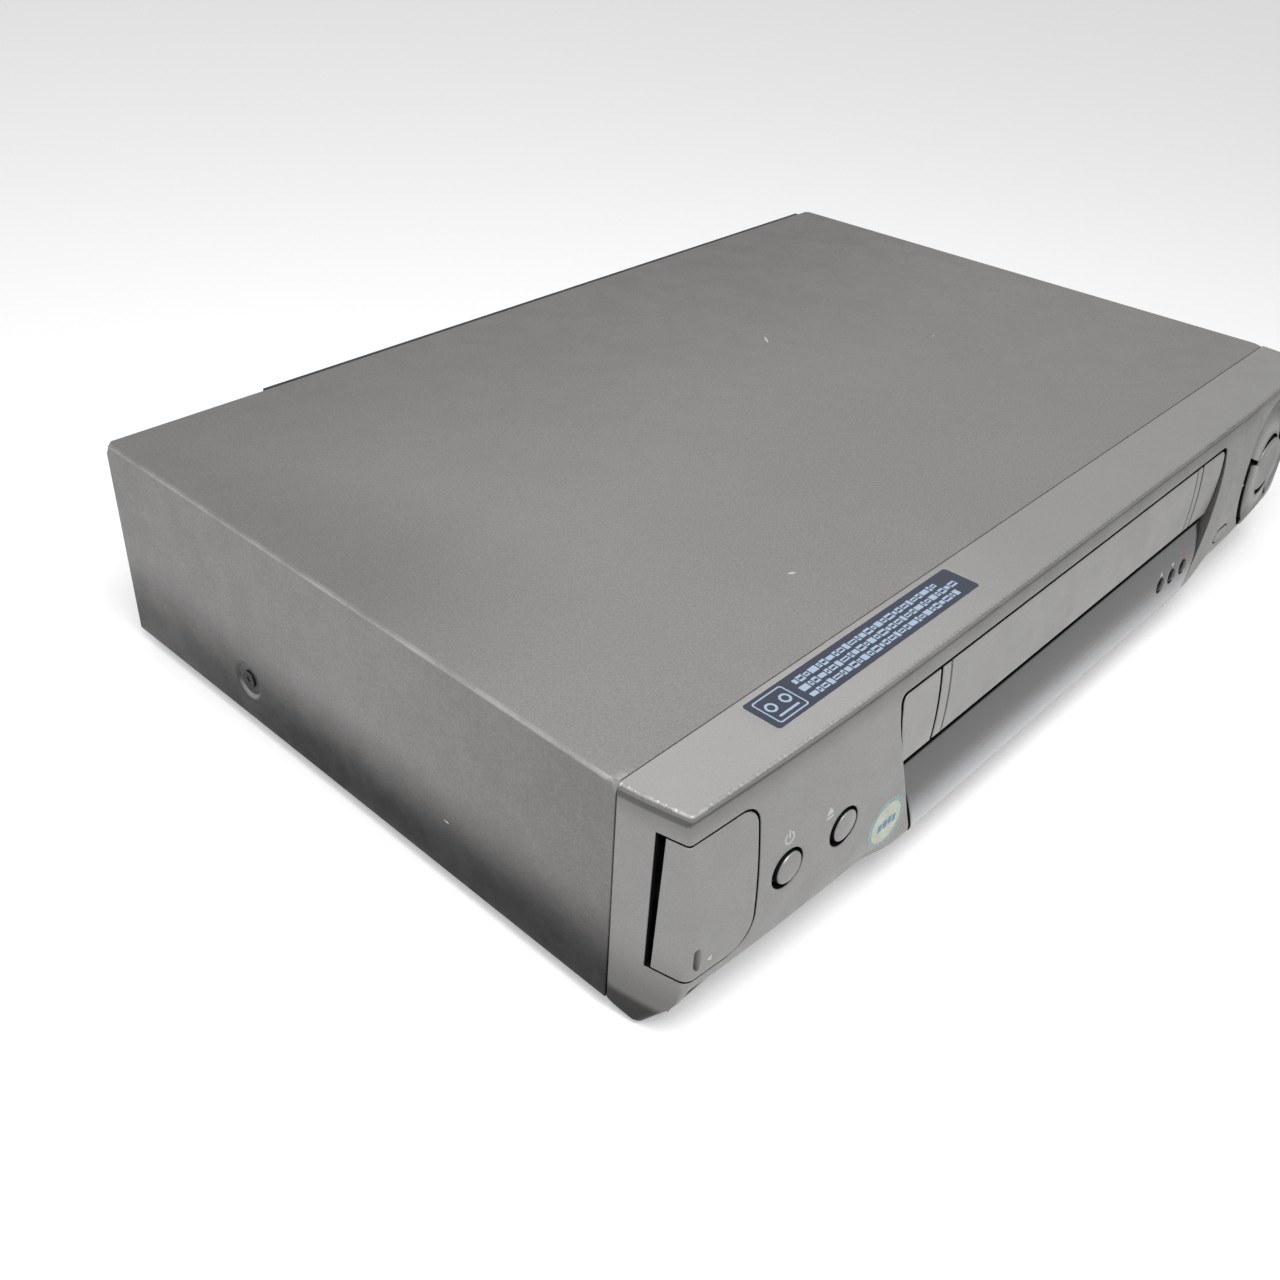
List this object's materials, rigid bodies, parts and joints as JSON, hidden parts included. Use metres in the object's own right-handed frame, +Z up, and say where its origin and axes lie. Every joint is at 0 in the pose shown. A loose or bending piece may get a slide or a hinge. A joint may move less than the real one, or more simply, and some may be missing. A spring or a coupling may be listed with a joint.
{
  "type": "video cassette recorder",
  "caption": "Silver front-loading video cassette recorder with a bulged front, sprung cassette door, display window, jack flap, round key cluster and full tape drive.",
  "frame": {"origin": "middle of the bounding box at the underside of the feet", "axes": "+X to the right seen from the front, +Y from the front to the rear, +Z up"},
  "size_m": [0.43, 0.2996, 0.087],
  "materials": {
    "cover_paint": "satin metallic",
    "chassis_black": "satin",
    "screw_black": "black zinc",
    "rubber": "matt",
    "black_plastic": "fine grain",
    "silver_plastic": "silver paint",
    "door_silver": "silver paint",
    "spring_steel": "bright wire",
    "window_smoke": "half mirrored",
    "tube_glass": "dark glass",
    "board_green": "satin",
    "board_brown": "satin",
    "jack_metal": "plated",
    "key_black": "satin",
    "plated_steel": "zinc plated",
    "dark_steel": "satin",
    "white_plastic": "satin",
    "polished_steel": "ground",
    "drum_alloy": "turned",
    "head_metal": "ground",
    "transformer_core": "varnished"
  },
  "bodies": {
    "cabinet": {"top_cover": "cover_paint", "cover_screws": "screw_black", "base_chassis": "chassis_black", "feet": "rubber", "rear_panel": "black_plastic", "front_panel": "silver_plastic", "left_trim": "door_silver", "right_trim": "door_silver", "door_spring": "spring_steel", "display_window": "window_smoke", "display_tube": "tube_glass", "front_frame": "black_plastic", "front_circuit_board": "board_green", "jack_pocket": "black_plastic", "front_av_jacks": "jack_metal", "deck_plate": "plated_steel", "side_frames": "plated_steel", "reel_shafts": "polished_steel", "lower_drum": "drum_alloy", "capstan_motor": "dark_steel", "drive_belt": "rubber", "loading_motor": "plated_steel", "erase_head": "head_metal", "audio_control_head": "head_metal", "main_circuit_board": "board_green", "tuner_module": "plated_steel", "rear_av_jacks": "jack_metal", "power_supply_board": "board_brown", "power_transformer": "transformer_core", "ac_inlet": "black_plastic"},
    "door": {"cassette_door": "door_silver"},
    "flap": {"av_flap": "silver_plastic"},
    "power_key": {"power_button": "silver_plastic"},
    "eject_key": {"eject_button": "silver_plastic"},
    "channel_down_key": {"channel_down_button": "key_black"},
    "channel_up_key": {"channel_up_button": "key_black"},
    "record_key": {"record_button": "key_black"},
    "timer_key": {"timer_button": "silver_plastic"},
    "play_key": {"play_button": "silver_plastic"},
    "rewind_key": {"rewind_button": "silver_plastic"},
    "stop_key": {"stop_button": "silver_plastic"},
    "fast_forward_key": {"fast_forward_button": "silver_plastic"},
    "pause_key": {"pause_button": "silver_plastic"},
    "slider": {"carriage_slider": "dark_steel"},
    "basket": {"cassette_basket": "plated_steel"},
    "supply_disc": {"supply_reel": "white_plastic"},
    "takeup_disc": {"takeup_reel": "white_plastic"},
    "idler": {"idler_arm": "dark_steel"},
    "idler_tyre": {"idler_wheel": "rubber"},
    "drum": {"upper_drum": "drum_alloy"},
    "capstan_shaft": {"capstan": "polished_steel"},
    "clutch": {"clutch_pulley": "white_plastic"},
    "pinch": {"pinch_arm": "dark_steel"},
    "pinch_tyre": {"pinch_roller": "rubber"},
    "supply_post": {"supply_guide": "polished_steel"},
    "takeup_post": {"takeup_guide": "polished_steel"},
    "tension": {"tension_arm": "plated_steel"},
    "cam": {"cam_gear": "white_plastic"},
    "pinion": {"loading_pinion": "white_plastic"}
  },
  "joints": [
    {"name": "door_hinge", "type": "hinge", "parent": "cabinet", "child": "door", "pos_m": [0, -0.1419, 0.0753], "axis": [1, 0, 0], "range_deg": [0, 100], "stiffness_Nm_per_rad": 0.004, "springref_deg": -20.05},
    {"name": "flap_hinge", "type": "hinge", "parent": "cabinet", "child": "flap", "pos_m": [-0.2088, -0.1359, 0.051], "axis": [0, 0, -1], "range_deg": [0, 90]},
    {"name": "power_key_press", "type": "slide", "parent": "cabinet", "child": "power_key", "axis": [0, 1, 0], "range_m": [0, 0.0012], "stiffness_N_per_m": 600, "springref_m": -0.0005},
    {"name": "eject_key_press", "type": "slide", "parent": "cabinet", "child": "eject_key", "axis": [0, 1, 0], "range_m": [0, 0.0012], "stiffness_N_per_m": 600, "springref_m": -0.0005},
    {"name": "channel_down_key_press", "type": "slide", "parent": "cabinet", "child": "channel_down_key", "axis": [0, 1, 0], "range_m": [0, 0.0012], "stiffness_N_per_m": 600, "springref_m": -0.0005},
    {"name": "channel_up_key_press", "type": "slide", "parent": "cabinet", "child": "channel_up_key", "axis": [0, 1, 0], "range_m": [0, 0.0012], "stiffness_N_per_m": 600, "springref_m": -0.0005},
    {"name": "record_key_press", "type": "slide", "parent": "cabinet", "child": "record_key", "axis": [0, 1, 0], "range_m": [0, 0.0012], "stiffness_N_per_m": 600, "springref_m": -0.0005},
    {"name": "timer_key_press", "type": "slide", "parent": "cabinet", "child": "timer_key", "axis": [0, 1, 0], "range_m": [0, 0.0012], "stiffness_N_per_m": 600, "springref_m": -0.0005},
    {"name": "play_key_press", "type": "slide", "parent": "cabinet", "child": "play_key", "axis": [0, 1, 0], "range_m": [0, 0.0012], "stiffness_N_per_m": 600, "springref_m": -0.0005},
    {"name": "rewind_key_press", "type": "slide", "parent": "cabinet", "child": "rewind_key", "axis": [0, 1, 0], "range_m": [0, 0.0012], "stiffness_N_per_m": 600, "springref_m": -0.0005},
    {"name": "stop_key_press", "type": "slide", "parent": "cabinet", "child": "stop_key", "axis": [0, 1, 0], "range_m": [0, 0.0012], "stiffness_N_per_m": 600, "springref_m": -0.0005},
    {"name": "fast_forward_key_press", "type": "slide", "parent": "cabinet", "child": "fast_forward_key", "axis": [0, 1, 0], "range_m": [0, 0.0012], "stiffness_N_per_m": 600, "springref_m": -0.0005},
    {"name": "pause_key_press", "type": "slide", "parent": "cabinet", "child": "pause_key", "axis": [0, 1, 0], "range_m": [0, 0.0012], "stiffness_N_per_m": 600, "springref_m": -0.0005},
    {"name": "carriage_in", "type": "slide", "parent": "cabinet", "child": "slider", "axis": [0, 1, 0], "range_m": [0, 0.08]},
    {"name": "basket_down", "type": "slide", "parent": "slider", "child": "basket", "axis": [0, 0, -1], "range_m": [0, 0.018]},
    {"name": "supply_spin", "type": "hinge", "parent": "cabinet", "child": "supply_disc", "pos_m": [-0.0465, -0.0364, 0.03], "axis": [0, 0, 1], "continuous": true},
    {"name": "takeup_spin", "type": "hinge", "parent": "cabinet", "child": "takeup_disc", "pos_m": [0.0465, -0.0364, 0.03], "axis": [0, 0, 1], "continuous": true},
    {"name": "idler_swing", "type": "hinge", "parent": "cabinet", "child": "idler", "pos_m": [0, -0.0664, 0.026], "axis": [0, 0, 1], "range_deg": [-24, 24]},
    {"name": "idler_spin", "type": "hinge", "parent": "idler", "child": "idler_tyre", "pos_m": [0, -0.0364, 0.023], "axis": [0, 0, 1], "continuous": true},
    {"name": "drum_spin", "type": "hinge", "parent": "cabinet", "child": "drum", "pos_m": [0, 0.0576, 0.023], "axis": [0, -0.0872, 0.9962], "continuous": true},
    {"name": "capstan_spin", "type": "hinge", "parent": "cabinet", "child": "capstan_shaft", "pos_m": [0.056, 0.0266, 0.02], "axis": [0, 0, 1], "continuous": true},
    {"name": "clutch_spin", "type": "hinge", "parent": "cabinet", "child": "clutch", "pos_m": [0, -0.0664, 0.02], "axis": [0, 0, 1], "continuous": true},
    {"name": "pinch_swing", "type": "hinge", "parent": "cabinet", "child": "pinch", "pos_m": [0.078, 0.0256, 0.024], "axis": [0, 0, -1], "range_deg": [0, 30]},
    {"name": "pinch_spin", "type": "hinge", "parent": "pinch", "child": "pinch_tyre", "pos_m": [0.06178, 0.00769, 0.032], "axis": [0, 0, 1], "continuous": true},
    {"name": "supply_load", "type": "slide", "parent": "cabinet", "child": "supply_post", "axis": [-0.19, 0.9818, 0], "range_m": [0, 0.04]},
    {"name": "takeup_load", "type": "slide", "parent": "cabinet", "child": "takeup_post", "axis": [0.19, 0.9818, 0], "range_m": [0, 0.0401]},
    {"name": "tension_swing", "type": "hinge", "parent": "cabinet", "child": "tension", "pos_m": [-0.084, 0.0076, 0.024], "axis": [0, 0, 1], "range_deg": [0, 20], "stiffness_Nm_per_rad": 0.004, "springref_deg": -11.46},
    {"name": "cam_turn", "type": "hinge", "parent": "cabinet", "child": "cam", "pos_m": [0.072, 0.0716, 0.023], "axis": [0, 0, 1], "range_deg": [0, 150.4]},
    {"name": "pinion_turn", "type": "hinge", "parent": "cabinet", "child": "pinion", "pos_m": [0.098, 0.0716, 0.023], "axis": [0, 0, 1], "range_deg": [-501, 1]}
  ],
  "couplings": [
    {"joint": "takeup_load", "follows": "supply_load", "ratio": 1},
    {"joint": "cam_turn", "follows": "supply_load", "rad_per_m": 65.45},
    {"joint": "pinion_turn", "follows": "supply_load", "rad_per_m": -218.17},
    {"joint": "clutch_spin", "follows": "capstan_spin", "ratio": 0.5}
  ]
}
